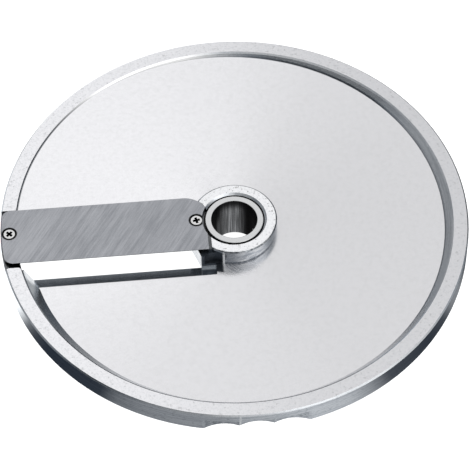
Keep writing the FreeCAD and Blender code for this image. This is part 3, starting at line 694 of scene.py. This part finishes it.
def table_paper():
    """White paper to the camera, cards to every other ray."""
    paper = new_finish("white paper")
    at = place(paper)
    cards = paper.around(at.turn, [(angle, level / CARD_STRENGTH) for angle, level in CARDS])
    shown = paper.cover(paper.shade(cards, DARK_CARD, PALE_CARD), [
        (paper.fall(at.away, DISH_RADIUS - 2.0 * MM, DISH_RADIUS + 4.0 * MM), grey(1 / CARD_STRENGTH)),
        (paper.fall(at.away, BORE_RADIUS + 1.5 * MM, BORE_RADIUS + 3.0 * MM), grey(0.26))])
    to_metal = paper.node("Emission", {}, {"Color": shown, "Strength": CARD_STRENGTH})
    glow = paper.node("Emission", {}, {"Color": WHITE, "Strength": 0.95})
    matt = paper.node("BsdfDiffuse", {}, {"Color": (0.6, 0.6, 0.6, 1)})
    from_above = paper.node("AddShader", {}, {0: glow, 1: matt})
    from_below = paper.node("BsdfTransparent")
    backface = paper.node("NewGeometry", output="Backfacing")
    to_camera = paper.node("MixShader", {}, {0: backface, 1: from_above, 2: from_below})
    camera_ray = paper.node("LightPath", output="Is Camera Ray")
    both = paper.node("MixShader", {}, {0: camera_ray, 1: to_metal, 2: to_camera})
    paper.node("OutputMaterial", {}, {0: both})
    return paper.holder


floor = level_square("floor", FLOOR_HALF)
floor.data.materials.append(table_paper())
print(f"floor is {2 * FLOOR_HALF:.0f} m across, with", len(CARDS), "stops round the disc")

# %% [markdown]
# ## Light
#
# The room is a dome, and its light depends only on the direction. A broad soft light stands high at the
# back and fades to the right, so that level metal goes from white to light grey. A second light stands low
# at the front right and lights the upright walls. A faint fill hangs overhead for views from other sides
# and keeps out of the back, where the plate looks. The rest is dark and a little blue.

# %% Light the dome
FRONT = math.radians(310)
DARK_ROOM_TINT = (0.80, 0.97, 1.17, 1)


def dome_light(sky):
    """Strength and tint of the light from each direction, whose x, y and z go from -1 to 1."""
    rise, fall, between = sky.rise, sky.fall, sky.between
    x, y, z = sky.parts(sky.node("TexCoord", output="Generated"))
    across = (x * x + y * y + 0.0001) ** 0.5
    aim = (x * math.cos(FRONT) + y * math.sin(FRONT)) / across

    soft = 0.985 - (x - 0.045) * 0.25 + (y - 0.587) * 0.10
    soft = sky.node("Clamp", {}, {0: soft, 1: 0.18, 2: 1.05})
    soft = soft * rise(z, 0.56, 0.73) * rise(y, -0.15, 0.30) * (1 - rise(x, 0.28, 0.50) * 0.8)
    side = (rise(aim, 0.45, 1.0) * (rise(z, 0.15, 0.75) * 0.50 + 0.55) * rise(across, 0.10, 0.35)
            + between(z, 0.36, 0.60, 0.06) * rise(aim, 0.88, 0.96) * 0.5)
    left = fall(x, -0.55, -0.10) * rise(y, -0.40, 0.10) * fall(z, 0.45, 0.75) * 0.26
    dark = rise(x, -0.2, 0.4) * 0.12 + 0.04
    at_back = rise(y, 0.0, 0.25) * fall(x * x, 0.25, 0.49)
    fill = rise(z, 0.42, 0.58) * (1 - at_back) * 0.42
    strip = between(x, -0.38, -0.12, 0.06) * between(z, 0.26, 0.42, 0.05) * rise(y, 0.50, 0.70) * 0.6

    lit = sky.node("Clamp", {}, {0: (soft + side + left + fill) * 3.0})
    tint = sky.shade(lit, DARK_ROOM_TINT, WHITE)
    return soft + side + dark + left + strip + fill * fall(aim, 0.45, 0.90), tint


world = bpy.data.worlds.new("studio")
bpy.context.scene.world = world
sky = Finish(world)
strength, tint = dome_light(sky)
shone = sky.node("Background", {}, {"Color": tint, "Strength": strength})
backdrop = sky.node("Background", {}, {"Color": WHITE, "Strength": 1.0})
camera_ray = sky.node("LightPath", output="Is Camera Ray")
sky.node("OutputWorld", {}, {0: sky.node("MixShader", {}, {0: camera_ray, 1: shone, 2: backdrop})})
print("dome is lit at the high back and the low front right, with", len(sky.tree.nodes), "nodes")

# %% [markdown]
# ## Camera
#
# The camera was fitted to the rim's and hub's ellipses: it stands 1.13 m from the middle of the rim's top
# face, 53 degrees up and a little left of the front, with a long lens.

# %% Place the camera
PICTURE_PIXELS = 470
FOCAL_PIXELS = 2576.5
AIM_PIXEL = (234.27, 218.37)
SENSOR_WIDTH = 36
DISTANCE = 1.1282
ELEVATION = math.radians(53.18)
AZIMUTH = math.radians(-4.3)
ROLL = math.radians(0.797)
middle = Vector((0, 0, TOP))
towards = Vector((math.sin(AZIMUTH) * math.cos(ELEVATION), -math.cos(AZIMUTH) * math.cos(ELEVATION),
                  math.sin(ELEVATION)))
camera_data = bpy.data.cameras.new("camera")
camera = bpy.data.objects.new("camera", camera_data)
bpy.context.scene.collection.objects.link(camera)
turned = towards.to_track_quat("Z", "Y").to_matrix().to_4x4()
rolled = Matrix.Rotation(-ROLL, 4, "Z")
camera.matrix_world = Matrix.Translation(middle + towards * DISTANCE) @ turned @ rolled
camera_data.sensor_width = SENSOR_WIDTH
camera_data.lens = FOCAL_PIXELS / PICTURE_PIXELS * SENSOR_WIDTH
camera_data.shift_x = (PICTURE_PIXELS / 2 - AIM_PIXEL[0]) / PICTURE_PIXELS
camera_data.shift_y = (AIM_PIXEL[1] - PICTURE_PIXELS / 2) / PICTURE_PIXELS
camera_data.clip_end = 20
bpy.context.scene.camera = camera
bpy.context.scene.view_settings.view_transform = "Standard"
print(f"lens {camera_data.lens:.1f} mm, shift {camera_data.shift_x:.4f}, {camera_data.shift_y:.4f}")
